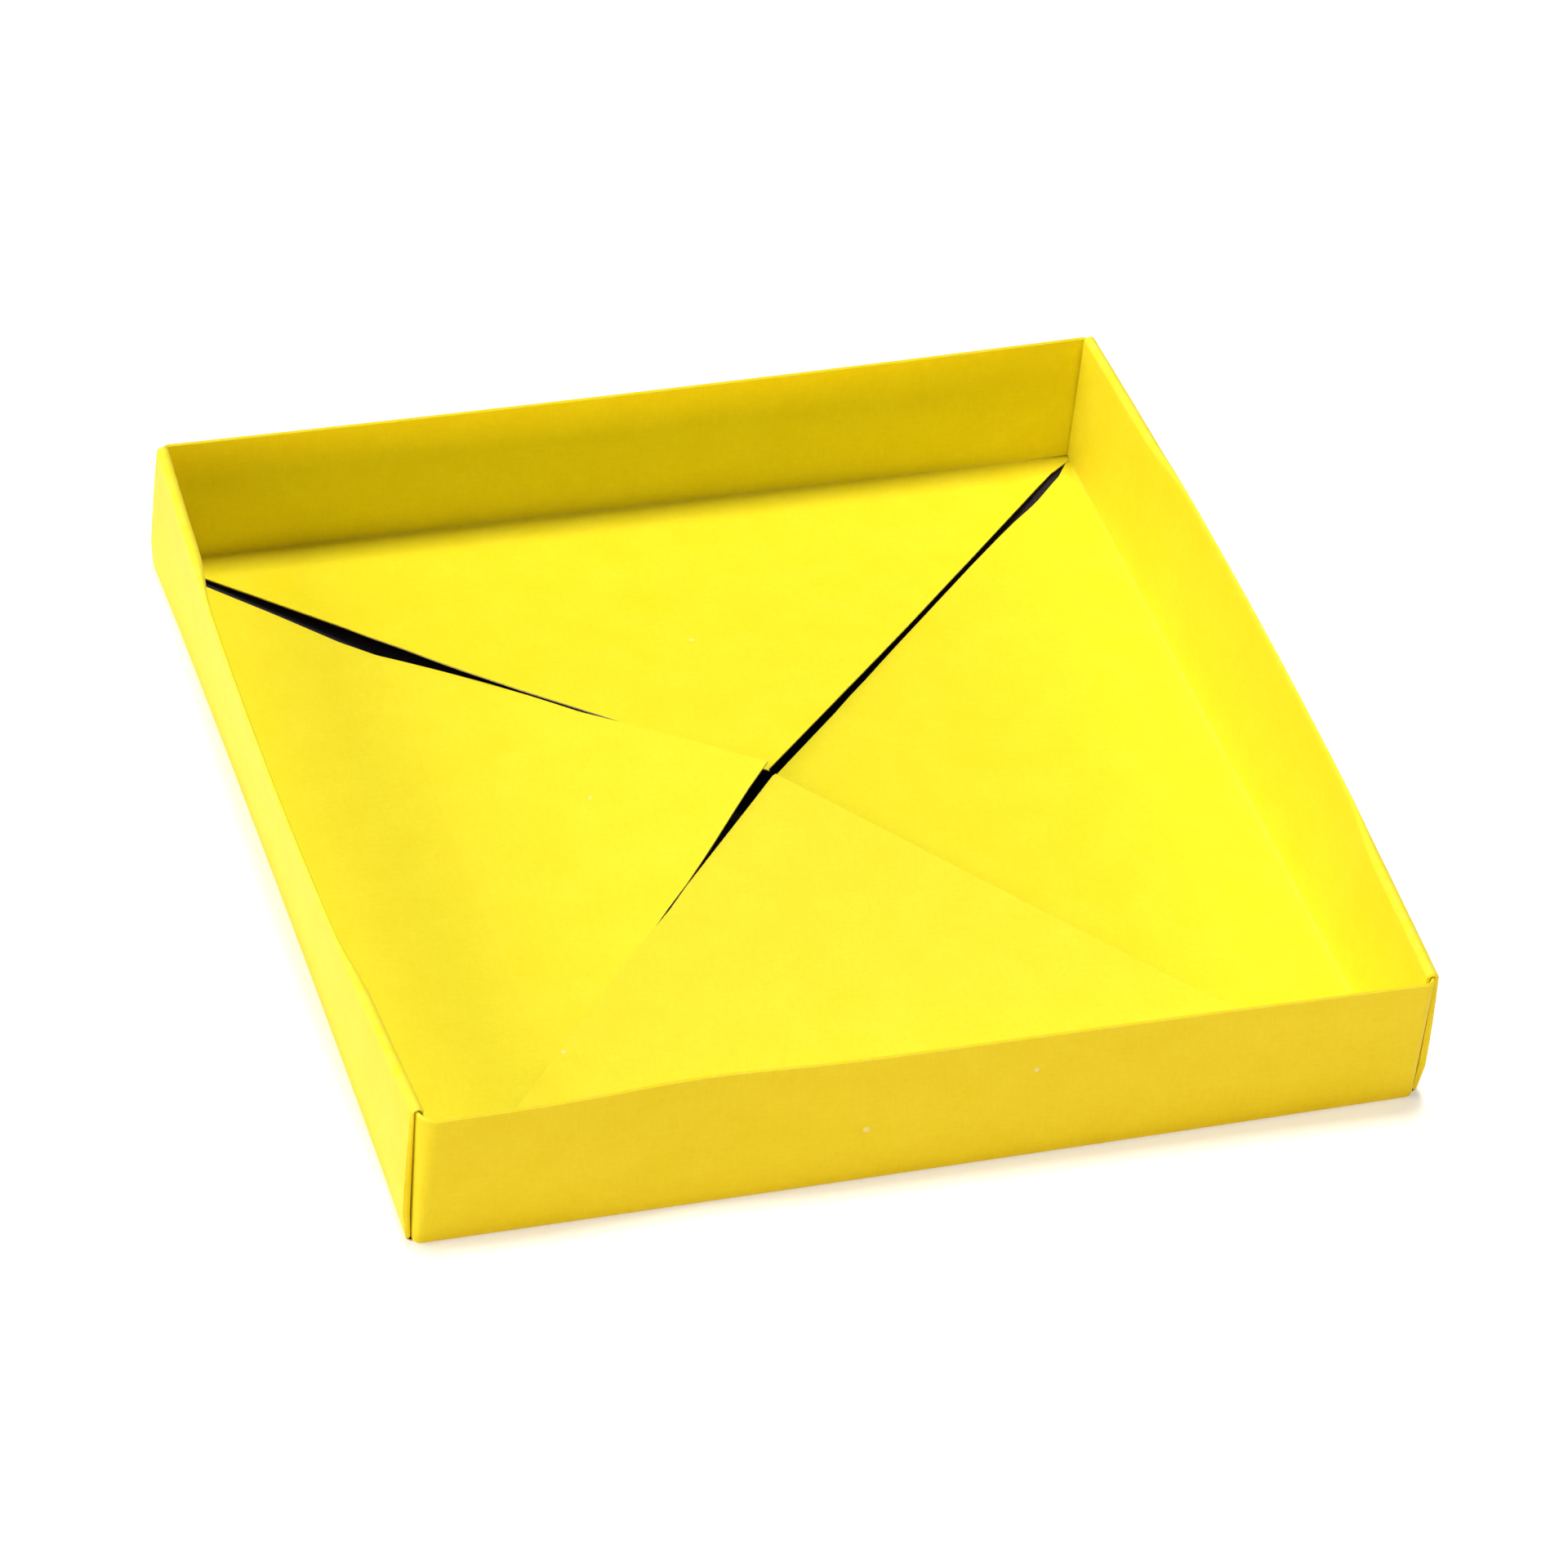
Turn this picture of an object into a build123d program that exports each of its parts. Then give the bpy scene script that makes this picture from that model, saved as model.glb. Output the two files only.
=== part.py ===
from build123d import *
from math import sqrt
import os

# Shallow square tray folded from one square sheet of paper, in millimetres.
# The sheet's corners are folded to its middle, the edges of that smaller square are
# folded up into double walls, and the corner webs are tucked into the side walls.
# Origin: middle of the underside. +Z up, the front wall towards -Y.

# The sheet
paper_side = 150.0
paper_thickness = 0.12
layer_gap = 0.05

# The folds
wall_height = 12.6
foot_radius = 0.35
crease_radius = 2.0
turn_radius = 0.9

# How far each floor flap has sprung up, in degrees: from its wall to its quarter
# crease, and from there to its tip
flap_rise = {
    "back": (5.4, 8.1),
    "left": (1.6, 12.5),
    "front": (5.6, 8.1),
    "right": (5.4, 6.2),
}

# Slits between neighbouring flaps, along the floor's diagonals: how wide they are at
# the middle of the floor and at its corner
slit_widths = {
    "back_right": (0.42, 0.70),
    "back_left": (0.07, 0.83),
    "front_left": (0.74, 0.07),
    "front_right": (0.07, 0.07),
}

# A side wall holds six layers of paper near its ends, and a front or back wall two
side_wall_layers = 6
layer_pitch = paper_thickness + layer_gap
half_paper = paper_thickness / 2

# The square that is left when the corners are folded in, and its creases
inner_square = paper_side / sqrt(2)
half_base = inner_square / 2 - wall_height
quarter_crease = inner_square / 4 - wall_height

# Radii to the middle of the paper: a sharp fold, the side wall's rim, the lining's
# rim inside it, and a flap's foot
fold_radius = layer_pitch / 2
side_rim_radius = layer_pitch * (side_wall_layers - 1) / 2
lining_rim_radius = side_rim_radius - layer_pitch
flap_foot_radius = foot_radius - layer_pitch

# Heights of the axis that every rim is folded round, and of the walls' straight foot
rim_axis = wall_height - half_paper - side_rim_radius
wall_foot = half_paper + foot_radius
leg_length = rim_axis - wall_foot

# Middles of the double walls in plan, and the upright axis that a front or back wall
# turns round into its tuck
end_wall_mid = half_base - half_paper - fold_radius
side_wall_mid = half_base - half_paper - side_rim_radius
turn_x = side_wall_mid - turn_radius
turn_y = end_wall_mid - turn_radius

# A tuck leaves the corner at 45 degrees, so this reach takes it past the rim
tuck_reach = wall_height


def hairpin(plane, mid_radius):
    """Two layers of a wall and the rim fold that joins them, seen end on."""
    outside = mid_radius + half_paper
    inside = mid_radius - half_paper
    wall_align = (Align.CENTER, Align.MAX)
    with BuildSketch(plane) as section:
        Circle(outside)
        Rectangle(2 * outside, leg_length, align=wall_align)
        Rectangle(2 * inside, leg_length, align=wall_align, mode=Mode.SUBTRACT)
        # A sharp fold is pressed shut, and a wider one is round inside
        if mid_radius > fold_radius:
            Circle(inside, mode=Mode.SUBTRACT)
    return section.sketch


def foot_bend(plane, bend_start, floor_start=None):
    """The bend from the floor into an outer wall, with the floor that leads to it."""
    with BuildSketch(plane) as section:
        with BuildLine():
            if floor_start is not None:
                Line((floor_start, 0), (bend_start, 0))
            JernArc((bend_start, 0), (1, 0), foot_radius + half_paper, 90)
            offset(amount=paper_thickness, side=Side.LEFT)
        make_face()
    return section.sketch


def pressed_fold(plane):
    """A sharp fold between two neighbouring layers, on the plane's +y side."""
    outside = fold_radius + half_paper
    with BuildSketch(plane) as section:
        Circle(outside)
        Rectangle(2 * outside, outside, align=(Align.CENTER, Align.MIN), mode=Mode.INTERSECT)
    return section.sketch


# The back wall's right half: floor, outer layer, rim and inner layer, one strip of
# paper that runs across x
end_bend_start = end_wall_mid + fold_radius - foot_radius
end_wall_section = Plane((0, end_wall_mid, rim_axis), x_dir=(0, 1, 0), z_dir=(1, 0, 0))
with BuildPart() as back_wall:
    extrude(foot_bend(Plane.YZ, end_bend_start, floor_start=0), turn_x, dir=(1, 0, 0))
    extrude(hairpin(end_wall_section, fold_radius), turn_x, dir=(1, 0, 0))

# The right wall's back half: the same strip with a wider rim, which runs along y
side_bend_start = side_wall_mid + side_rim_radius - foot_radius
side_wall_section = Plane((side_wall_mid, 0, rim_axis), x_dir=(1, 0, 0), z_dir=(0, -1, 0))
with BuildPart() as right_wall:
    extrude(foot_bend(Plane.XZ, side_bend_start, floor_start=0), turn_y, dir=(0, 1, 0))
    extrude(hairpin(side_wall_section, side_rim_radius), turn_y, dir=(0, 1, 0))

# The back wall turns the corner, and both its layers go on inside the right wall
corner_axis = Axis((turn_x, turn_y, 0), (0, 0, -1))
with BuildPart() as corner_turn:
    revolve(foot_bend(Plane.YZ.offset(turn_x), end_bend_start), corner_axis, 90)
    revolve(hairpin(end_wall_section.offset(turn_x), fold_radius), corner_axis, 90)

# Two tucked webs, the inner one from the back wall and the lining from the right
# wall. Both are triangles that hang from the rim, cut off along a 45 degree line
tuck_section = side_wall_section.offset(-turn_y)
with BuildPart() as tucks:
    for tuck_radius in (fold_radius, lining_rim_radius):
        extrude(hairpin(tuck_section, tuck_radius), tuck_reach, dir=(0, -1, 0))
    with BuildSketch(Plane.YZ.offset(side_wall_mid)):
        with BuildLine():
            Polyline(
                (turn_y, wall_foot),
                (turn_y - tuck_reach, wall_foot + tuck_reach),
                (turn_y - tuck_reach, wall_foot),
                close=True,
            )
        make_face()
    extrude(amount=side_rim_radius, both=True, mode=Mode.SUBTRACT)

# The folds that join the webs. At the corner the right wall's two layers fold back
# on themselves, up the wall, over the rim and down again, and the two outer webs are
# joined to each other along the 45 degree line
fold_reach = side_rim_radius - fold_radius
outer_fold = Plane((side_wall_mid + fold_reach, turn_y, wall_foot))
inner_fold = Plane((side_wall_mid - fold_reach, turn_y, wall_foot))
rim_fold = outer_fold.offset(leg_length)
diagonal_fold = Plane(
    (side_wall_mid + layer_pitch, turn_y, wall_foot), x_dir=(-1, 0, 0), z_dir=(0, -1, 1)
)
with BuildPart() as web_folds:
    extrude(pressed_fold(outer_fold), leg_length)
    extrude(pressed_fold(inner_fold), leg_length)
    revolve(pressed_fold(rim_fold), Axis((side_wall_mid, turn_y, rim_axis), (0, -1, 0)), 180)
    extrude(pressed_fold(diagonal_fold), leg_length * sqrt(2), dir=(0, -1, 1))


def floor_flap(wall_mid, rim_radius, wall_end, rises, right_slit, left_slit):
    """The flap at the foot of the back wall, which has sprung up towards its tip."""
    inner_face = wall_mid - rim_radius - half_paper
    foot_end = inner_face - flap_foot_radius
    wall_rise, tip_rise = rises
    with BuildPart() as flap:
        with BuildSketch(Plane.YZ):
            with BuildLine():
                foot = JernArc(
                    (inner_face, wall_foot), (0, -1), flap_foot_radius - half_paper, -90 - wall_rise
                )
                near = PolarLine(foot @ 1, quarter_crease, direction=foot % 1)
                crease = JernArc(near @ 1, near % 1, crease_radius, wall_rise - tip_rise)
                PolarLine(crease @ 1, half_base, direction=crease % 1)
                offset(amount=paper_thickness, side=Side.LEFT)
            make_face()
        extrude(amount=half_base, both=True)

        # Plan of the flap: two raw edges of the sheet, which run along the diagonals
        right_middle, right_corner = (width / sqrt(2) for width in right_slit)
        left_middle, left_corner = (width / sqrt(2) for width in left_slit)
        right_slope = 1 + (right_corner - right_middle) / half_base
        left_slope = 1 + (left_corner - left_middle) / half_base
        tip_x = (left_middle - right_middle) / (right_slope + left_slope)
        tip_y = right_middle + right_slope * tip_x
        with BuildSketch(Plane.XY):
            with BuildLine():
                Polyline(
                    (tip_x, tip_y),
                    (flap_side, right_middle + right_slope * flap_side),
                    (flap_side, half_base),
                    (-flap_side, half_base),
                    (-flap_side, left_middle + left_slope * flap_side),
                    close=True,
                )
            make_face()
            # Its foot is only as long as its wall, and ends where the corner turns
            corner_size = half_base - wall_end
            foot_size = half_base - foot_end
            with Locations((wall_end, foot_end), (-half_base, foot_end)):
                Rectangle(corner_size, foot_size, align=Align.MIN, mode=Mode.SUBTRACT)
        extrude(amount=wall_height, mode=Mode.INTERSECT)
    return flap.part


# A flap's corners are cut off by the side walls' inner faces
flap_side = side_wall_mid - side_rim_radius - half_paper - layer_gap
sides = list(flap_rise)
slit_list = list(slit_widths.values())

# The whole sheet: four mirrored quarters and a flap on each side, the left one a
# quarter turn on from the back one, and so on round
with BuildPart() as folded_sheet:
    for piece in (back_wall, right_wall, corner_turn, tucks, web_folds):
        add(piece.part)
    mirror(about=Plane.XZ)
    mirror(about=Plane.YZ)
    for turn, side in enumerate(sides):
        is_end = side in ("back", "front")
        wall_mid = end_wall_mid if is_end else side_wall_mid
        rim_radius = fold_radius if is_end else side_rim_radius
        wall_end = turn_x if is_end else turn_y
        right_slit = slit_list[turn]
        left_slit = slit_list[(turn + 1) % len(slit_list)]
        rises = flap_rise[side]
        flap = floor_flap(wall_mid, rim_radius, wall_end, rises, right_slit, left_slit)
        add(flap, rotation=(0, 0, 90 * turn))

folded_sheet.part.label = "folded_sheet"
os.makedirs("parts", exist_ok=True)
export_step(folded_sheet.part, "parts/folded_sheet.step")
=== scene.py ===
import bmesh
import bpy
from math import atan2, cos, exp, pi, radians, sin, sqrt, tan
from mathutils import Matrix, Vector


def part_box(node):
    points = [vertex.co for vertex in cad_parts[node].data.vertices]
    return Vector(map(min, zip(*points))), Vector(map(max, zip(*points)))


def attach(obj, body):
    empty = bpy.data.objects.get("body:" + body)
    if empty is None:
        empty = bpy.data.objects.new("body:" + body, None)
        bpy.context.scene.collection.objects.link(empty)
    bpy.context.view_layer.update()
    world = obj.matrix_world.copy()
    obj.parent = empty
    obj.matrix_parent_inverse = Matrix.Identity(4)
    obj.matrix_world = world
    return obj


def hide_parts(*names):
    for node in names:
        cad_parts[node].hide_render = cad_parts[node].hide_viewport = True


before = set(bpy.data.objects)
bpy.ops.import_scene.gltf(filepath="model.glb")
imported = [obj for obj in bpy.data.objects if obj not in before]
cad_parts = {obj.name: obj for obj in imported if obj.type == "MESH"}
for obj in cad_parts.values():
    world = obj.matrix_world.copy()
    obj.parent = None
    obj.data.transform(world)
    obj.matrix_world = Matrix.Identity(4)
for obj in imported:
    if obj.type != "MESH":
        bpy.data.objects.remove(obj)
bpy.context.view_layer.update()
print("frame loaded:", list(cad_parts))

mm = 0.001
hair = 0.001 * mm  # places this close are the same place

# One square of two-coloured paper, yellow below and near-black above, folded up into a tray.
# Lengths along the sheet are counted from its middle: "out" towards a wall, "along" beside it
paper = {
    "side": 150 * mm,
    "thickness": 0.12 * mm,
    "layerGap": 0.05 * mm,
    "footRadius": 0.35 * mm,
    "creaseRadius": 2.0 * mm,
    "turnRadius": 0.9 * mm,
    "sideWallLayers": 6,
}

# What each side of the tray does: which way it faces, whether it is a side wall, which holds
# the tucked corners, and how many degrees its floor flap rises up to the quarter crease and
# after it
sides = [
    {"name": "right", "turn": 0, "isSideWall": True, "rises": (5.4, 6.2),
     "lastSlit": "frontRight", "nextSlit": "backRight"},
    {"name": "back", "turn": 90, "isSideWall": False, "rises": (5.4, 8.1),
     "lastSlit": "backRight", "nextSlit": "backLeft"},
    {"name": "left", "turn": 180, "isSideWall": True, "rises": (1.6, 12.5),
     "lastSlit": "backLeft", "nextSlit": "frontLeft"},
    {"name": "front", "turn": 270, "isSideWall": False, "rises": (5.6, 8.1),
     "lastSlit": "frontLeft", "nextSlit": "frontRight"},
]

# The slits between the floor flaps: how far each stands open at the floor's middle and at its
# corner, and how far each flap's raw edge strays from that straight line at some distances from
# the middle. A stray edge opens the slit where it is above nought
slits = {
    "backRight": {
        "middle": 0.42 * mm, "corner": 0.70 * mm,
        "strays": {
            "back": ((2, 0.16), (11, 0.14), (18, 0.17), (25, 0.31), (38, 0.31)),
            "right": ((2, -0.22), (9, -0.17), (15, -0.28), (26, -0.31), (31, -0.18), (34, 0.12),
                      (37, 0)),
        },
    },
    "backLeft": {
        "middle": 0.07 * mm, "corner": 0.83 * mm,
        "strays": {
            "back": ((6, 0), (16, -0.14), (20, -0.1), (27, 0.25), (34, 0.15), (39, 0)),
            "left": ((6, 0), (12, 0.34), (15, 0.12), (18, 0.02), (21, 0.12), (24, 0.3),
                     (27.5, 0.66), (32, 0.5), (39, 0.5)),
        },
    },
    "frontLeft": {
        "middle": 0.74 * mm, "corner": 0.07 * mm,
        "strays": {
            "front": ((2, -0.1), (8, -0.18), (12, -0.1), (16, -0.3), (24, -0.2), (36, 0)),
            "left": ((2, 0.06), (4, -0.05), (7, -0.25), (10, -0.34), (13, -0.3), (24, -0.1),
                     (36, 0)),
        },
    },
    "frontRight": {
        "middle": 0.07 * mm, "corner": 0.07 * mm,
        "strays": {"front": ((0, 0),), "right": ((0, 0),)},
    },
}

# Strips that each bend is rolled from, and cuts between the bends
steps = {"foot": 6, "sideRim": 12, "endRim": 6, "innerFoot": 6, "crease": 3, "foldBack": 6,
         "turn": 8}
cuts = {"wall": 5, "nearFlap": 6, "farFlap": 12, "alongWall": 40}

# How the folded paper settles out of true. A corner's turn has one radius at its foot and
# another at the rim, both foot and rim shift sideways there, and the folded end of its side
# wall springs open. A wall bows outward at its rim by so much halfway along, the more evenly
# the higher the power, with dents at a place, so deep and so wide
corners = {
    "backRight": {"radii": (0.25 * mm, 0.5 * mm), "opening": 0.30 * mm,
                  "foot": (0.1 * mm, 0), "rim": (0, 0.6 * mm), "lift": 0.35 * mm},
    "backLeft": {"radii": (0.4 * mm, 0.7 * mm), "opening": 0.25 * mm,
                 "foot": (-0.1 * mm, 0), "rim": (-0.35 * mm, 0.15 * mm), "lift": 0},
    "frontLeft": {"radii": (0.5 * mm, 1.4 * mm), "opening": 0.40 * mm,
                  "foot": (0, -0.4 * mm), "rim": (-0.1 * mm, -0.03 * mm), "lift": 0},
    "frontRight": {"radii": (0.5 * mm, 0.7 * mm), "opening": 0.45 * mm,
                   "foot": (0.35 * mm, 0), "rim": (0.2 * mm, -0.22 * mm), "lift": 0},
}
bows = {
    "right": {"foot": 0, "rim": 1.0 * mm, "power": 2, "dents": []},
    "back": {"foot": 0, "rim": -0.35 * mm, "power": 2, "dents": []},
    "left": {"foot": -0.25 * mm, "rim": 1.25 * mm, "power": 2, "dents": []},
    "front": {"foot": 0.12 * mm, "rim": -0.3 * mm, "power": 2,
              "dents": [(-18 * mm, -0.6 * mm, 8 * mm)]},
}

settling = {
    "fade": 8 * mm,  # how far from a corner a wall feels what the corner does
    "slitFade": 3 * mm,  # how far in from its raw edge a flap strays
    "widestAt": 0.12,  # the share of a wall's height where its folded end stands widest open
    "pinch": 0.75,  # how much closer a side wall's two layers lie at the rim
}

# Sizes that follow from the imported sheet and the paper
low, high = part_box("folded_sheet")
halfBase = high[0]
wallHeight = high[2] - low[2]
halfPaper = paper["thickness"] / 2
pitch = paper["thickness"] + paper["layerGap"]
halfDiagonal = paper["side"] / sqrt(2)
quarterCrease = halfDiagonal / 4 - wallHeight
foldRadius = pitch / 2
sideRimRadius = pitch * (paper["sideWallLayers"] - 1) / 2
turnRadius = paper["turnRadius"]
innerFootRadius = paper["footRadius"] - pitch
rimAxis = wallHeight - halfPaper - sideRimRadius
wallFoot = halfPaper + paper["footRadius"]
legLength = rimAxis - wallFoot
endWallMid = halfBase - halfPaper - foldRadius
sideWallMid = halfBase - halfPaper - sideRimRadius
turnX = sideWallMid - turnRadius
turnY = endWallMid - turnRadius
flapSide = sideWallMid - sideRimRadius - halfPaper - paper["layerGap"]
footStart = halfBase - halfPaper - paper["footRadius"]
fadeLength = settling["fade"]


def stripWidth(radius, angle, count):
    # a strip turned about its middle keeps its ends on a circle of this radius
    return 2 * radius * tan(abs(angle) / count / 2)


def stations(start, end, count):
    return [start + (end - start) * k / count for k in range(count + 1)]


def foldPlan(side):
    # where each bend of one side starts on the flat sheet, its radius, angle and strips
    isSide = side["isSideWall"]
    wallRise, tipRise = (radians(rise) for rise in side["rises"])
    rimRadius = sideRimRadius if isSide else foldRadius
    rimSteps = steps["sideRim"] if isSide else steps["endRim"]
    plan, out = {}, footStart
    for name, radius, angle, count, after in (
        ("foot", paper["footRadius"], pi / 2, steps["foot"], legLength),
        ("rim", rimRadius, pi, rimSteps, legLength),
        ("innerFoot", innerFootRadius, -pi / 2 - wallRise, steps["innerFoot"], quarterCrease),
        ("crease", paper["creaseRadius"], wallRise - tipRise, steps["crease"], 0),
    ):
        width = stripWidth(radius, angle, count)
        plan[name] = {"start": out, "width": width, "angle": angle, "count": count}
        plan[name]["end"] = out + width * count
        out = plan[name]["end"] + after
    count = steps["foldBack"] if isSide else steps["turn"]
    radius, angle = (foldRadius, pi) if isSide else (turnRadius + foldRadius, pi / 2)
    start = turnY if isSide else turnX
    width = stripWidth(radius, angle, count)
    plan["wing"] = {"start": start, "width": width, "angle": angle, "count": count,
                    "end": start + width * count}
    return plan


def editMesh():
    return bmesh.from_edit_mesh(bpy.context.object.data)


def choose(elements, test):
    # selects only what passes the test
    bpy.ops.mesh.select_all(action="DESELECT")
    for element in elements:
        if not element.hide and test(element):
            element.select_set(True)
    bm = editMesh()
    bm.select_flush_mode()
    bmesh.update_edit_mesh(bpy.context.object.data)


def outAlong(place, turn):
    # a place on the flat sheet, seen from the side that faces this way
    c, s = cos(radians(turn)), sin(radians(turn))
    return place[0] * c + place[1] * s, place[1] * c - place[0] * s


def cutLine(turn, out=None, along=None):
    # a straight cut through what shows, at a distance out or along
    c, s = cos(radians(turn)), sin(radians(turn))
    normal = (c, s, 0) if out is not None else (-s, c, 0)
    distance = out if out is not None else along
    bpy.ops.mesh.select_all(action="SELECT")
    bpy.ops.mesh.bisect(plane_co=[distance * n for n in normal], plane_no=normal)


def startSheet():
    bpy.ops.object.select_all(action="DESELECT")
    bpy.ops.mesh.primitive_plane_add(size=paper["side"], rotation=(0, 0, pi / 4))
    sheet = bpy.context.object
    sheet.name = sheet.data.name = "foldedPaper"
    bpy.ops.object.transform_apply(location=False, rotation=True, scale=False)
    sheet.data.uv_layers[0].name = "flatSheet"
    return sheet


def creaseSheet(plans):
    # every fold line and every later bend is first cut into the flat sheet
    bpy.ops.object.mode_set(mode="EDIT")
    bpy.ops.mesh.select_mode(type="FACE")
    for turn in (45, 135):
        cutLine(turn, out=0)
    for turn, start in ((0, turnX), (90, turnY), (180, turnX), (270, turnY)):
        cutLine(turn, out=start)
        cutLine(turn, out=plans["right"]["foot"]["end"])
    for side in sides:
        turn, plan, wing = side["turn"], plans[side["name"]], plans[side["name"]]["wing"]
        choose(editMesh().faces, lambda f: isInSide(f.calc_center_median(), turn))
        bpy.ops.mesh.hide(unselected=True)
        for name in ("foot", "rim", "innerFoot", "crease"):
            for line in stations(plan[name]["start"], plan[name]["end"], plan[name]["count"]):
                cutLine(turn, out=line)
        for start, end, count in (
            (plan["foot"]["end"], plan["rim"]["start"], cuts["wall"]),
            (plan["rim"]["end"], plan["innerFoot"]["start"], cuts["wall"]),
            (plan["innerFoot"]["end"], plan["crease"]["start"], cuts["nearFlap"]),
            (plan["crease"]["end"], halfDiagonal, cuts["farFlap"]),
        ):
            for line in stations(start, end, count)[1:-1]:
                cutLine(turn, out=line)
        choose(editMesh().faces, lambda f: outAlong(f.calc_center_median(), turn)[0] > footStart)
        bpy.ops.mesh.hide(unselected=True)
        for line in stations(-flapSide, flapSide, cuts["alongWall"]):
            cutLine(turn, along=line)
        choose(editMesh().faces, lambda f: isWall(f.calc_center_median(), turn, plan))
        bpy.ops.mesh.hide(unselected=True)
        for line in stations(wing["start"], wing["end"], wing["count"]):
            for sign in (1, -1):
                cutLine(turn, along=sign * line)
        bpy.ops.mesh.reveal(select=False)
    print("creased:", len(editMesh().faces), "faces")


def isInSide(place, turn):
    out, along = outAlong(place, turn)
    return out > abs(along)


def isWall(place, turn, plan):
    out, along = outAlong(place, turn)
    return plan["foot"]["start"] < out < plan["innerFoot"]["start"]


def trimSheet(plans):
    # the floor's corner points, where four folds meet, and the floor flaps' cut corners
    footEnd = plans["right"]["foot"]["end"]

    def isCorner(face):
        x, y = (abs(c) for c in face.calc_center_median()[:2])
        return turnX < x < footEnd and turnY < y < footEnd

    choose(editMesh().faces, isCorner)
    bpy.ops.mesh.delete(type="FACE")
    for side in sides:
        turn, innerFoot = side["turn"], plans[side["name"]]["innerFoot"]
        wallEnd = turnY if side["isSideWall"] else turnX

        def isFlapCorner(face):
            out, along = outAlong(face.calc_center_median(), turn)
            widest = wallEnd if out < innerFoot["end"] else flapSide
            return out > innerFoot["start"] and abs(along) > widest and out > abs(along)

        choose(editMesh().faces, isFlapCorner)
        bpy.ops.mesh.delete(type="FACE")

    # the corner webs come apart along their diagonal, so that each half can go its own way
    def isDiagonal(edge):
        return all(abs(abs(v.co.x) - abs(v.co.y)) < hair / 10 and abs(v.co.x) > footEnd - hair
                   for v in edge.verts)

    bpy.ops.mesh.select_mode(type="EDGE")
    choose(editMesh().edges, isDiagonal)
    bpy.ops.mesh.edge_split(type="EDGE")
    bpy.ops.mesh.select_mode(type="VERT")


def markSheet(sheet):
    # every point keeps its place on the flat sheet, and the side it belongs to
    bm = editMesh()
    flat = bm.verts.layers.float_vector.new("flat")
    belongs = bm.verts.layers.int.new("belongs")
    for v in bm.verts:
        v[flat] = v.co
        middle = sum((f.calc_center_median() for f in v.link_faces), Vector()) / len(v.link_faces)
        v[belongs] = round(atan2(middle.y, middle.x) / (pi / 2)) % 4 * 90
    bmesh.update_edit_mesh(sheet.data)


def chooseBeyond(side, test):
    bm = editMesh()
    flat = bm.verts.layers.float_vector["flat"]
    belongs = bm.verts.layers.int["belongs"]
    turn = side["turn"]
    choose(bm.verts, lambda v: v[belongs] == turn and test(*outAlong(v[flat], turn)))


def foldBend(side, bend, along=0, reach=1):
    # rolls one bend, its outermost strip first: each strip turns what lies beyond it about
    # its own middle. The side faces +X while it is folded. along is 1 or -1 for a wing,
    # which ends where the flap's foot starts
    theta = bend["angle"] / bend["count"]
    for k in reversed(range(bend["count"])):
        middle = bend["start"] + (k + 0.5) * bend["width"]
        if along:
            chooseBeyond(side, lambda out, across: across * along > middle and out < reach)
            bpy.ops.transform.rotate(value=-theta * along, orient_axis="X", orient_type="GLOBAL",
                                     center_override=(0, middle * along, 0))
        else:
            chooseBeyond(side, lambda out, across: out > middle)
            bpy.ops.transform.rotate(value=theta, orient_axis="Y", orient_type="GLOBAL",
                                     center_override=(middle, 0, 0))


def turnSheet(angle):
    bpy.ops.mesh.select_all(action="SELECT")
    bpy.ops.transform.rotate(value=-radians(angle), orient_axis="Z", orient_type="GLOBAL",
                             center_override=(0, 0, 0))


def foldSides(plans):
    for side in sides:
        plan = plans[side["name"]]
        turnSheet(-side["turn"])
        foldBend(side, plan["crease"])
        foldBend(side, plan["innerFoot"])
        if not side["isSideWall"]:
            foldBend(side, plan["rim"])
        for along in (1, -1):
            foldBend(side, plan["wing"], along, plan["innerFoot"]["start"] + hair)
        if side["isSideWall"]:
            foldBend(side, plan["rim"])
        foldBend(side, plan["foot"])
        turnSheet(side["turn"])
        print("folded the", side["name"], "side")


def roundCorners():
    # the foot of an end wall goes on round the corner, and carries the tucked web above it
    bpy.ops.mesh.select_mode(type="EDGE")
    for right in (1, -1):
        for back in (1, -1):
            def isFootEnd(edge):
                return all(abs(v.co.x * right - turnX) < hair / 10
                           and v.co.y * back > turnY - hair / 10
                           and v.co.z < wallFoot + hair / 10 for v in edge.verts)

            choose(editMesh().edges, isFootEnd)
            bpy.ops.mesh.spin(steps=steps["turn"], angle=pi / 2 * right * back, dupli=False,
                              center=(turnX * right, turnY * back, 0), axis=(0, 0, 1))
    bpy.ops.mesh.select_mode(type="VERT")
    bpy.ops.mesh.select_all(action="SELECT")
    bpy.ops.mesh.remove_doubles(threshold=2 * hair)


def ease(t):
    t = min(max(t, 0), 1)
    return t * t * (3 - 2 * t)


def between(knots, at):
    # straight lines from knot to knot, level before the first and after the last
    if at <= knots[0][0]:
        return knots[0][1]
    for (start, low), (end, high) in zip(knots, knots[1:]):
        if at <= end:
            return low + (high - low) * (at - start) / (end - start)
    return knots[-1][1]


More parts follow.
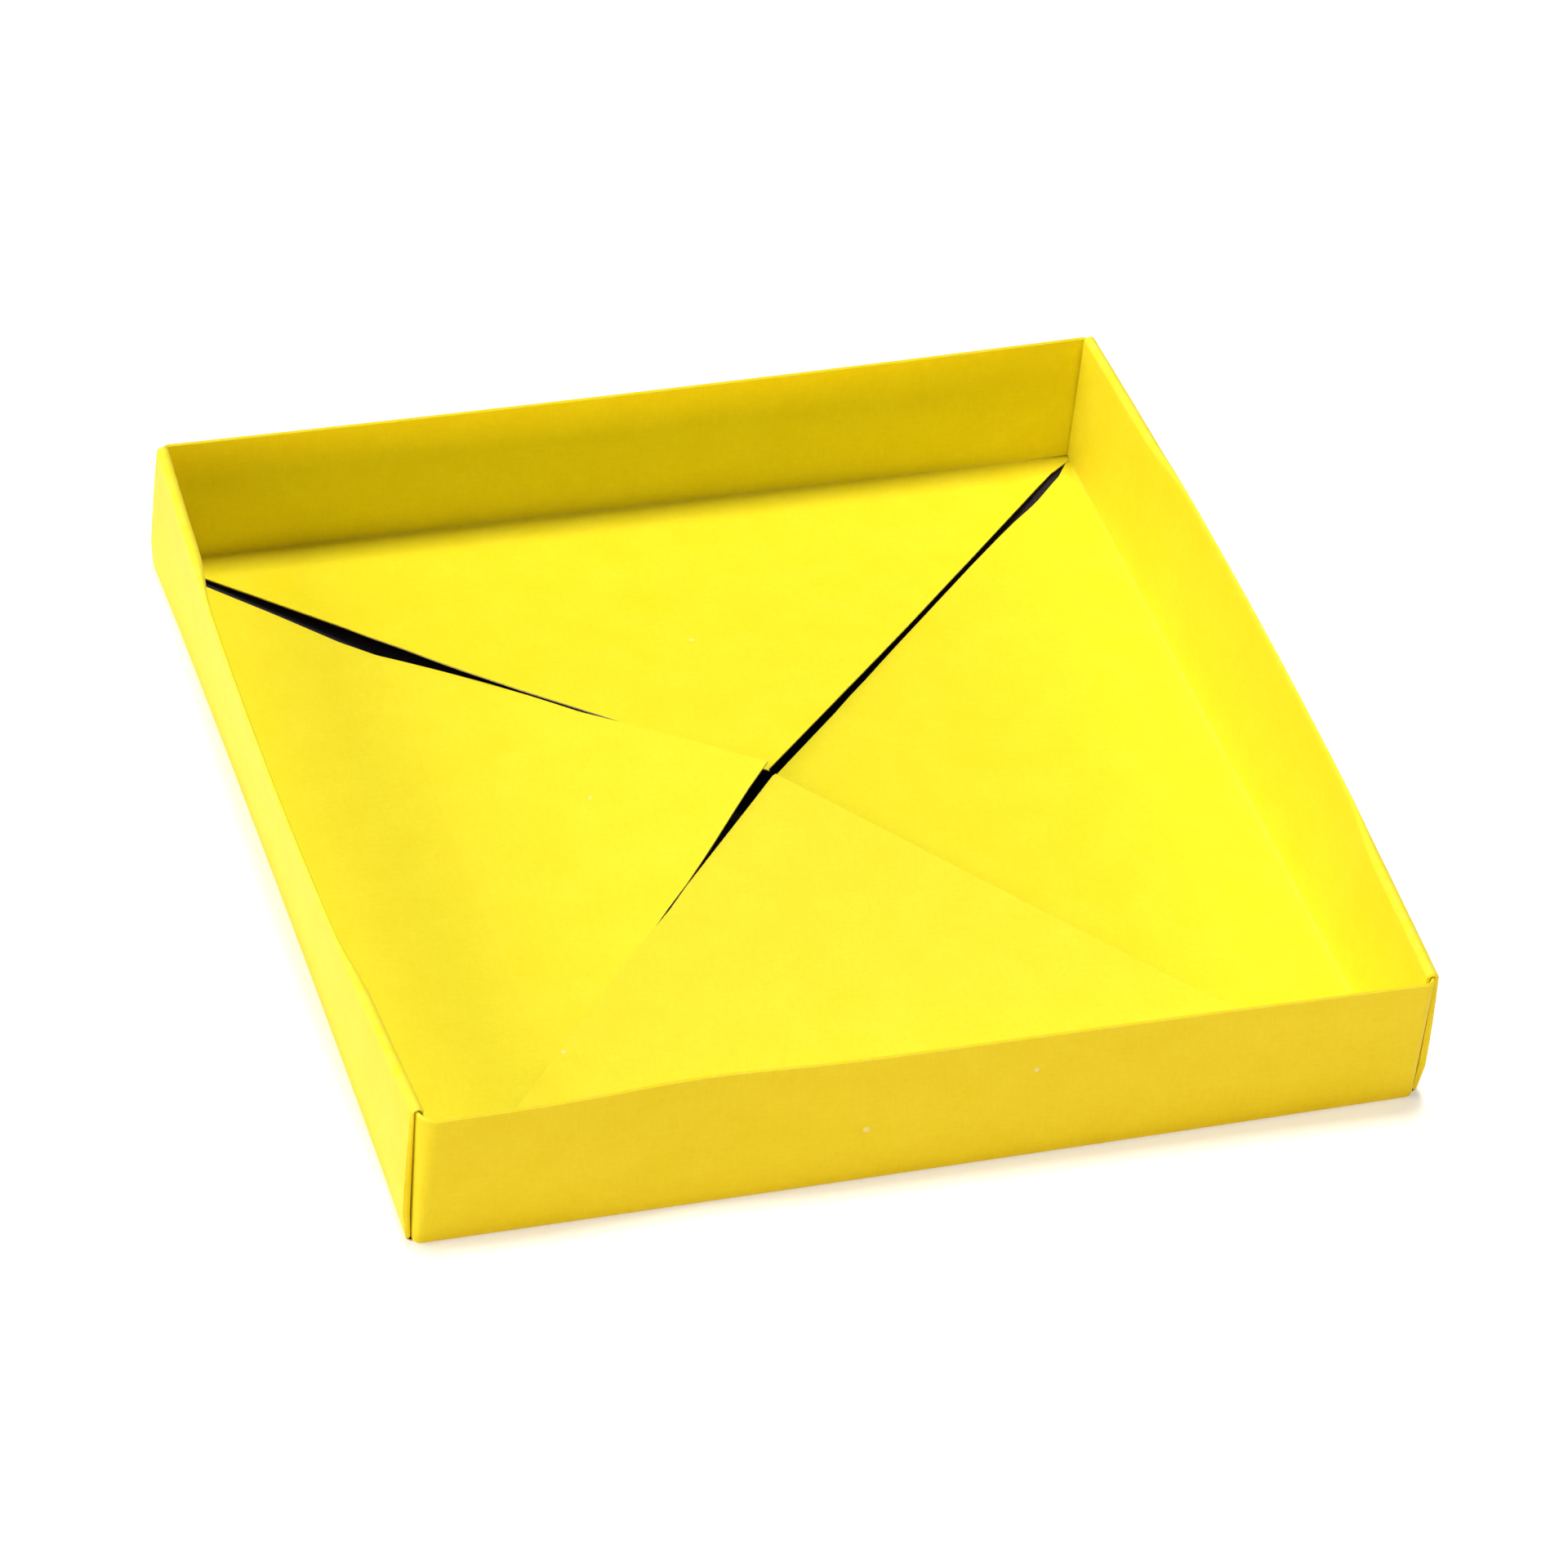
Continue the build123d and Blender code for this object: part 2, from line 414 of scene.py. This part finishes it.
def trimFlaps(plans):
    # a floor flap ends at its two slits, which run along the diagonals of the floor
    for side in sides:
        turnSheet(-side["turn"])
        bpy.ops.mesh.select_mode(type="FACE")
        bm = editMesh()
        flat = bm.verts.layers.float_vector["flat"]
        belongs = bm.verts.layers.int["belongs"]
        flapStart = plans[side["name"]]["innerFoot"]["start"] - hair

        def isFlap(face):
            return all(v[belongs] == side["turn"] and outAlong(v[flat], side["turn"])[0] > flapStart
                       for v in face.verts)

        choose(bm.faces, isFlap)
        bpy.ops.mesh.split()
        bpy.ops.mesh.hide(unselected=True)
        for along, name in ((1, side["nextSlit"]), (-1, side["lastSlit"])):
            middle, corner = slits[name]["middle"] / sqrt(2), slits[name]["corner"] / sqrt(2)
            slope = 1 + (corner - middle) / halfBase
            bpy.ops.mesh.select_all(action="SELECT")
            bpy.ops.mesh.bisect(plane_co=(middle, 0, 0), plane_no=(-1, slope * along, 0),
                                clear_outer=True)
            knots = slits[name]["strays"][side["name"]]
            for v in editMesh().verts:
                if not v.hide and (v.co.y * along > 0 or abs(v.co.y) < mm / 10):
                    inside = (v.co.x - middle - slope * abs(v.co.y)) / sqrt(2)
                    share = ease(1 - inside / settling["slitFade"]) * mm / sqrt(2)
                    stray = between(knots, abs(v.co.y) / mm) * share
                    v.co.x += stray
                    v.co.y -= stray * along
        bpy.ops.mesh.reveal(select=False)
        bpy.ops.mesh.select_mode(type="VERT")
        bpy.ops.mesh.select_all(action="SELECT")
        bpy.ops.mesh.remove_doubles(threshold=hair)
        turnSheet(side["turn"])


def cornerAt(x, y):
    return corners[("back" if y > 0 else "front") + ("Right" if x > 0 else "Left")]


def turnCorner(place):
    # gives each corner its own radius, and moves what leads up to it
    corner = cornerAt(place.x, place.y)
    low, high = corner["radii"]
    change = low + (high - low) * place.z / wallHeight - turnRadius
    x, y = abs(place.x), abs(place.y)
    if x > turnX and y > turnY:
        reach, angle = sqrt((x - turnX) ** 2 + (y - turnY) ** 2), atan2(y - turnY, x - turnX)
        x = turnX - change + (reach + change) * cos(angle)
        y = turnY - change + (reach + change) * sin(angle)
    elif y > turnY:
        x -= change * ease(1 - (turnX - x) / fadeLength)
    elif x > turnX:
        y -= change * ease(1 - (turnY - y) / fadeLength)
    place.x, place.y = x * (1 if place.x > 0 else -1), y * (1 if place.y > 0 else -1)


def openEnd(place):
    # the side wall's two outer layers, which are folded back on themselves at the corner,
    # stand off the tucked ones, most of all low down
    sign = 1 if place.x > 0 else -1
    layer = (abs(place.x) - sideWallMid - pitch) / (sideRimRadius - pitch)
    if layer > 0 and abs(place.y) < turnY + pitch:
        height = min(place.z / wallHeight, 1)
        widest = settling["widestAt"]
        if height < widest:
            shape = ease(height / widest)
        else:
            shape = cos((height - widest) / (1 - widest) * pi / 2)
        near = ease(1 - (turnY - abs(place.y)) / fadeLength)
        place.x += sign * cornerAt(place.x, place.y)["opening"] * shape * near * min(layer, 1)


def pinchWall(place):
    # between its tucked webs the two layers of a side wall lie close to each other at the rim
    inside = halfBase - halfPaper - abs(place.x)
    if abs(place.x) > flapSide - mm / 10 and abs(place.y) < turnY and inside > 0:
        sign = 1 if place.x > 0 else -1
        clear = ease((turnY - abs(place.y) - wallHeight) / fadeLength)
        share = settling["pinch"] * clear * ease(place.z / wallHeight)
        place.x += sign * inside * share


def bowOut(side, along, height):
    # how far a wall stands out of line at this height and this far along it
    bow = bows[side]
    share = 1 - abs(along / halfBase) ** bow["power"]
    dents = sum(deep * exp(-((along - middle) / wide) ** 2) for middle, deep, wide in bow["dents"])
    return (bow["foot"] * (1 - height) + bow["rim"] * height) * share + dents * height


def settle(place):
    height = max(place.z, 0) / wallHeight
    right, back = place.x / halfBase / 2 + 0.5, place.y / halfBase / 2 + 0.5
    shift = Vector()
    for name, share in (("backRight", right * back), ("backLeft", (1 - right) * back),
                        ("frontLeft", (1 - right) * (1 - back)),
                        ("frontRight", right * (1 - back))):
        corner = corners[name]
        for axis in (0, 1):
            foot, rim = corner["foot"][axis], corner["rim"][axis]
            shift[axis] += share * (foot + (rim - foot) * height)
        shift.z += share * corner["lift"] * height
    nearSide = ease((abs(place.x) - flapSide + fadeLength / 3) / (fadeLength / 3))
    nearEnd = ease((abs(place.y) - flapSide + fadeLength / 3) / (fadeLength / 3))
    if nearSide:
        sign = 1 if place.x > 0 else -1
        name = "right" if place.x > 0 else "left"
        shift.x += sign * nearSide * bowOut(name, place.y, height)
    if nearEnd:
        sign = 1 if place.y > 0 else -1
        name = "back" if place.y > 0 else "front"
        shift.y += sign * nearEnd * bowOut(name, place.x, height)
    place += shift


def settleSheet(sheet):
    bm = editMesh()
    for v in bm.verts:
        openEnd(v.co)
        turnCorner(v.co)
        pinchWall(v.co)
        settle(v.co)
    bmesh.update_edit_mesh(sheet.data)


sheet = startSheet()
plans = {side["name"]: foldPlan(side) for side in sides}
creaseSheet(plans)
trimSheet(plans)
markSheet(sheet)
foldSides(plans)
bpy.ops.mesh.select_all(action="SELECT")
bpy.ops.transform.translate(value=(0, 0, halfPaper))
roundCorners()
trimFlaps(plans)
settleSheet(sheet)
bpy.ops.mesh.select_all(action="SELECT")
bpy.ops.mesh.normals_make_consistent(inside=False)
bpy.ops.object.mode_set(mode="OBJECT")
print("folded and settled:", len(sheet.data.polygons), "faces")


# The faces of the paper: the colour as made, how far it drifts in soft clouds and from fibre to
# fibre, how it pales on a worn fold, and how the fibres stand up
faces = {
    "paperYellow": {"base": (0.92, 0.79, 0.01, 1), "cloud": (0.97, 0.86, 0.03, 1),
                    "fibre": (0.84, 0.7, 0.004, 1), "worn": (1.0, 0.92, 0.25, 1),
                    "drift": 0.6, "fibres": 0.4, "wear": 0.15, "dust": 0.5,
                    "smooth": 0.5, "rough": 0.66, "sheen": 0.1, "bump": 0.3},
    "paperBlack": {"base": (0.011, 0.008, 0.015, 1), "cloud": (0.016, 0.012, 0.02, 1),
                   "fibre": (0.006, 0.004, 0.009, 1), "worn": (0.06, 0.05, 0.06, 1),
                   "drift": 0.6, "fibres": 0.5, "wear": 0.5, "dust": 0.0,
                   "smooth": 0.5, "rough": 0.7, "sheen": 0.05, "bump": 0.25},
    "paperEdge": {"base": (0.62, 0.57, 0.42, 1), "cloud": (0.7, 0.64, 0.4, 1),
                  "fibre": (0.4, 0.36, 0.28, 1), "worn": (0.8, 0.78, 0.7, 1),
                  "drift": 0.7, "fibres": 0.8, "wear": 0.3, "dust": 0.0,
                  "smooth": 0.8, "rough": 0.95, "sheen": 0.0, "bump": 0.6},
}

# The grain that all three share, in marks to the mm: fine pulp, strands and how they are drawn
# out both ways, clouds, rubbed folds and ragged specks. Then how high the fibres stand, and how
# many mm past its bend a fold is worn
grain = {"fine": 2.6, "strand": 1.7, "strandsAcross": (0.5, 2.6, 1), "strandsUp": (2.4, 0.45, 1),
         "cloud": 0.25, "rub": 0.9, "speckEdge": 3.0, "height": 0.02 * mm, "wearWidth": 0.35}

# How the paper takes the light, and the colour of the dust on it
surface = {"specular": 0.25, "sheenRough": 0.4, "dustColour": (1, 0.98, 0.85, 1)}

# White specks of dust on the tray, each with its place and radius in mm
specks = [
    ((-0.3, 20.1, 2.7), 0.32), ((-14.3, 2.1, 3.4), 0.36), ((17.5, -0.7, 3.0), 0.3),
    ((26.4, 16.9, 2.0), 0.25), ((24.0, -7.8, 2.2), 0.25), ((7.8, -27.4, 1.8), 0.3),
    ((-23.9, -24.6, 2.2), 0.4), ((32.0, 2.1, 1.3), 0.25), ((-22.0, 2.1, 2.5), 0.22),
    ((-5.0, -40.4, 5.2), 0.36), ((8.2, -40.4, 8.9), 0.26),
]


def addGroup(name, inputs, outputs):
    # a shader node group with named sockets, and its two end nodes
    group = bpy.data.node_groups.new(name, "ShaderNodeTree")
    for direction, sockets in (("INPUT", inputs), ("OUTPUT", outputs)):
        for label, kind in sockets.items():
            group.interface.new_socket(name=label, in_out=direction, socket_type=kind)
    return group, group.nodes.new("NodeGroupInput"), group.nodes.new("NodeGroupOutput")


def addNode(tree, kind, sockets=None, **settings):
    # sockets are set to a number, or linked where another node's socket is given
    node = tree.nodes.new(kind)
    for name, value in settings.items():
        setattr(node, name, value)
    for key, value in (sockets or {}).items():
        if isinstance(value, bpy.types.NodeSocket):
            tree.links.new(value, node.inputs[key])
        else:
            node.inputs[key].default_value = value
    return node


def compute(tree, operation, *values):
    return addNode(tree, "ShaderNodeMath", dict(enumerate(values)), operation=operation).outputs[0]


def mixColours(tree, factor, first, second):
    node = addNode(tree, "ShaderNodeMix", {0: factor, 6: first, 7: second}, data_type="RGBA")
    return node.outputs[2]


def buildFibreGroup():
    # grain of pressed fibres, and the soft clouds that they lie in, on the flat sheet in mm
    group, start, end = addGroup("paperFibres", {"Place": "NodeSocketVector"},
                                 {"Fibres": "NodeSocketFloat", "Clouds": "NodeSocketFloat",
                                  "Height": "NodeSocketFloat"})
    place = start.outputs["Place"]
    fine = addNode(group, "ShaderNodeTexNoise", {"Vector": place, "Scale": grain["fine"],
                                                 "Detail": 4, "Roughness": 0.6})
    heights = [fine.outputs["Fac"]]
    for stretch in (grain["strandsAcross"], grain["strandsUp"]):
        drawn = addNode(group, "ShaderNodeVectorMath", {0: place, 1: stretch}, operation="MULTIPLY")
        strand = addNode(group, "ShaderNodeTexNoise", {
            "Vector": drawn.outputs[0], "Scale": grain["strand"], "Detail": 3, "Distortion": 0.8})
        heights.append(strand.outputs["Fac"])
    cloud = addNode(group, "ShaderNodeTexNoise", {"Vector": place, "Scale": grain["cloud"],
                                                  "Detail": 4})
    total = compute(group, "ADD", compute(group, "ADD", heights[0], heights[1]), heights[2])
    fibres = addNode(group, "ShaderNodeMapRange", {"Value": total, "From Min": 1.15,
                                                   "From Max": 1.85})
    clouds = addNode(group, "ShaderNodeMapRange", {"Value": cloud.outputs["Fac"],
                                                   "From Min": 0.3, "From Max": 0.7})
    group.links.new(fibres.outputs[0], end.inputs["Fibres"])
    group.links.new(clouds.outputs[0], end.inputs["Clouds"])
    group.links.new(total, end.inputs["Height"])
    return group


def band(tree, distance, bend):
    # 1 along a bend of the flat sheet, and down to 0 a little way past it
    middle = (bend["start"] + bend["end"]) / 2 / mm
    half = (bend["end"] - bend["start"]) / 2 / mm
    off = compute(tree, "ABSOLUTE", compute(tree, "SUBTRACT", distance, middle))
    node = addNode(tree, "ShaderNodeMapRange", {
        "Value": off, "From Min": half + grain["wearWidth"], "From Max": half * 0.6},
        interpolation_type="SMOOTHSTEP")
    return node.outputs[0]


def buildWearGroup():
    # where the sheet has been creased: its bends on the flat sheet, broken up by handling
    group, start, end = addGroup("foldWear", {"Place": "NodeSocketVector"},
                                 {"Wear": "NodeSocketFloat"})
    place = addNode(group, "ShaderNodeSeparateXYZ", {0: start.outputs["Place"]})
    x, y = (compute(group, "ABSOLUTE", place.outputs[k]) for k in (0, 1))
    isSide = compute(group, "GREATER_THAN", x, y)
    totals = []
    for out, name in ((x, "right"), (y, "back")):
        total = 0
        for bend in ("rim", "foot", "innerFoot"):
            total = compute(group, "MAXIMUM", total, band(group, out, plans[name][bend]))
        totals.append(total)
    sideFolds = compute(group, "MULTIPLY", totals[0], isSide)
    endFolds = compute(group, "MULTIPLY", totals[1], compute(group, "SUBTRACT", 1, isSide))
    rubs = addNode(group, "ShaderNodeTexNoise", {"Vector": start.outputs["Place"],
                                                 "Scale": grain["rub"], "Detail": 4})
    rubbed = addNode(group, "ShaderNodeMapRange", {"Value": rubs.outputs["Fac"], "From Min": 0.35,
                                                   "From Max": 0.65})
    folds = compute(group, "ADD", sideFolds, endFolds)
    wear = compute(group, "MULTIPLY", folds, rubbed.outputs[0])
    group.links.new(wear, end.inputs["Wear"])
    return group


def buildSpeckGroup():
    # one speck of dust, a little out of round
    group, start, end = addGroup("dustSpeck", {"Place": "NodeSocketVector",
                                               "Middle": "NodeSocketVector",
                                               "Radius": "NodeSocketFloat",
                                               "Ragged": "NodeSocketFloat"},
                                 {"Speck": "NodeSocketFloat"})
    place, middle, radius, ragged = (start.outputs[name]
                                     for name in ("Place", "Middle", "Radius", "Ragged"))
    off = addNode(group, "ShaderNodeVectorMath", {0: place, 1: middle}, operation="DISTANCE")
    size = compute(group, "MULTIPLY", radius, compute(group, "ADD", ragged, 0.5))
    share = compute(group, "DIVIDE", off.outputs["Value"], size)
    speck = addNode(group, "ShaderNodeMapRange", {"Value": share, "From Min": 1.0,
                                                  "From Max": 0.5})
    group.links.new(speck.outputs[0], end.inputs["Speck"])
    return group


def useGroup(tree, group, sockets):
    return addNode(tree, "ShaderNodeGroup", sockets, node_tree=group)


def makePaper(name, groups):
    look = faces[name]
    material = bpy.data.materials.new(name)
    material.use_nodes = True
    tree = material.node_tree
    shader = tree.nodes["Principled BSDF"]

    # the flat sheet in mm, turned so that the folds lie along its axes
    flat = addNode(tree, "ShaderNodeUVMap", uv_map="flatSheet")
    turned = addNode(tree, "ShaderNodeMapping", {
        "Vector": flat.outputs[0], "Rotation": (0, 0, pi / 4),
        "Scale": (paper["side"] / mm, paper["side"] / mm, 1),
        "Location": (0, -halfDiagonal / mm, 0)})
    onSheet = turned.outputs[0]
    fibres = useGroup(tree, groups["fibres"], {"Place": onSheet})
    wear = useGroup(tree, groups["wear"], {"Place": onSheet})

    colour = mixColours(tree, compute(tree, "MULTIPLY", fibres.outputs["Clouds"], look["drift"]),
                        look["base"], look["cloud"])
    colour = mixColours(tree, compute(tree, "MULTIPLY", fibres.outputs["Fibres"], look["fibres"]),
                        colour, look["fibre"])
    worn = compute(tree, "MULTIPLY", wear.outputs["Wear"], look["wear"])
    colour = mixColours(tree, worn, colour, look["worn"])
    if look["dust"]:
        coordinates = addNode(tree, "ShaderNodeTexCoord")
        onTray = addNode(tree, "ShaderNodeVectorMath", {0: coordinates.outputs["Object"],
                                                       1: (1 / mm, 1 / mm, 1 / mm)},
                         operation="MULTIPLY")
        ragged = addNode(tree, "ShaderNodeTexNoise", {"Vector": onTray.outputs[0],
                                                      "Scale": grain["speckEdge"], "Detail": 2})
        dust = 0
        for middle, radius in specks:
            speck = useGroup(tree, groups["speck"], {
                "Place": onTray.outputs[0], "Middle": middle, "Radius": radius,
                "Ragged": ragged.outputs["Fac"]})
            dust = compute(tree, "MAXIMUM", dust, speck.outputs["Speck"])
        colour = mixColours(tree, compute(tree, "MULTIPLY", dust, look["dust"]), colour,
                            surface["dustColour"])
    tree.links.new(colour, shader.inputs["Base Color"])

    rough = addNode(tree, "ShaderNodeMapRange", {"Value": fibres.outputs["Fibres"],
                                                 "To Min": look["smooth"], "To Max": look["rough"]})
    tree.links.new(rough.outputs[0], shader.inputs["Roughness"])
    bump = addNode(tree, "ShaderNodeBump", {"Height": fibres.outputs["Height"],
                                            "Strength": look["bump"], "Distance": grain["height"]})
    tree.links.new(bump.outputs[0], shader.inputs["Normal"])
    shader.inputs["Specular IOR Level"].default_value = surface["specular"]
    shader.inputs["Sheen Weight"].default_value = look["sheen"]
    shader.inputs["Sheen Roughness"].default_value = surface["sheenRough"]
    return material


def thickenSheet(sheet):
    # the yellow side is the flat sheet's underside, and every face points out of it
    bpy.ops.object.mode_set(mode="EDIT")
    bm = editMesh()
    bm.normal_update()
    floorFaces = [f for f in bm.faces if f.calc_center_median().z < halfPaper + 10 * hair]
    floor = max(floorFaces, key=lambda f: f.calc_area())
    bpy.ops.mesh.select_all(action="SELECT")
    if floor.normal.z > 0:
        bpy.ops.mesh.flip_normals()
    bpy.ops.object.mode_set(mode="OBJECT")
    solidify = sheet.modifiers.new("paper", "SOLIDIFY")
    solidify.thickness = paper["thickness"]
    solidify.offset = 0
    solidify.use_even_offset = True
    solidify.material_offset = 1
    solidify.material_offset_rim = 2
    bpy.ops.object.modifier_apply(modifier="paper")


groups = {"fibres": buildFibreGroup(), "wear": buildWearGroup(), "speck": buildSpeckGroup()}
for name in faces:
    sheet.data.materials.append(makePaper(name, groups))
print("paper made:", len(sheet.data.materials), "materials")
thickenSheet(sheet)
bpy.ops.object.shade_smooth_by_angle(angle=radians(35))
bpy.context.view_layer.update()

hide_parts("folded_sheet")
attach(sheet, "root")

# The camera that the photograph was taken with: where it stands and how far it leans
camera = {
    "place": Vector((-0.16320, -0.40011, 0.37529)),
    "aim": Vector((0.00293, 0.00416, 0)),
    "roll": radians(7.718),
    "lens": 164.46,
    "sensor": 36,
}

# The lamps, each turned towards the tray, with its size across and up in metres
lamps = [
    {"name": "key", "place": (0, 0.29, 1.6), "size": (0.4, 0.4), "power": 21.5, "tint": (1, 1, 1)},
    {"name": "window", "place": (-1.5, 0.1, 0.7), "size": (1.2, 1.2), "power": 18,
     "tint": (1, 1, 1)},
    {"name": "low", "place": (0.1, -1.5, 0.05), "size": (1.6, 0.07), "power": 8.5,
     "tint": (1, 0.64, 0.15)},
]

# What the tray is lit by from the floor and the air round it, and how far the floor that the
# camera sees is lifted towards white
stage = {"floorSize": 4, "floorColour": (0.85, 0.81, 0.73, 1), "airColour": (0.1, 0.085, 0.055, 1),
         "white": (1, 1, 1, 1), "lift": 0.4}


def setCamera():
    bpy.ops.object.camera_add(location=camera["place"])
    lens = bpy.context.object
    direction = camera["aim"] - camera["place"]
    lens.rotation_euler = (direction.to_track_quat("-Z", "Y").to_matrix()
                           @ Matrix.Rotation(camera["roll"], 3, "Z")).to_euler()
    lens.data.lens = camera["lens"]
    lens.data.sensor_width = camera["sensor"]
    lens.data.clip_start = 0.01
    bpy.context.scene.camera = lens


def setLamps():
    for lamp in lamps:
        bpy.ops.object.light_add(type="AREA", location=lamp["place"])
        light = bpy.context.object
        light.name = lamp["name"]
        light.data.shape = "RECTANGLE"
        light.data.size, light.data.size_y = lamp["size"]
        light.data.energy = lamp["power"]
        light.data.color = lamp["tint"]
        light.rotation_euler = (-Vector(lamp["place"])).to_track_quat("-Z", "Y").to_euler()


def seenDirectly(tree):
    # 1 where the camera or a reflection looks, and 0 where light is gathered
    rays = addNode(tree, "ShaderNodeLightPath")
    return compute(tree, "MAXIMUM", rays.outputs["Is Camera Ray"], rays.outputs["Is Glossy Ray"])


def setStage():
    # the floor takes the shadow, and what the camera sees of floor and world is white
    bpy.ops.mesh.primitive_plane_add(size=stage["floorSize"])
    floor = bpy.context.object
    floor.name = "floor"
    material = bpy.data.materials.new("floorWhite")
    material.use_nodes = True
    tree = material.node_tree
    shader = tree.nodes["Principled BSDF"]
    shader.inputs["Roughness"].default_value = 1.0
    shader.inputs["Specular IOR Level"].default_value = 0.0
    shader.inputs["Emission Color"].default_value = stage["white"]
    seen = seenDirectly(tree)
    colour = mixColours(tree, seen, stage["floorColour"], stage["white"])
    lift = compute(tree, "MULTIPLY", seen, stage["lift"])
    tree.links.new(colour, shader.inputs["Base Color"])
    tree.links.new(lift, shader.inputs["Emission Strength"])
    floor.data.materials.append(material)

    world = bpy.data.worlds.new("studio")
    world.use_nodes = True
    tree = world.node_tree
    shader = tree.nodes["Background"]
    colour = mixColours(tree, seenDirectly(tree), stage["airColour"], stage["white"])
    tree.links.new(colour, shader.inputs["Color"])
    bpy.context.scene.world = world
    bpy.context.scene.view_settings.view_transform = "Standard"


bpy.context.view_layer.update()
setCamera()
setLamps()
setStage()
print("camera, lamps and floor are set")
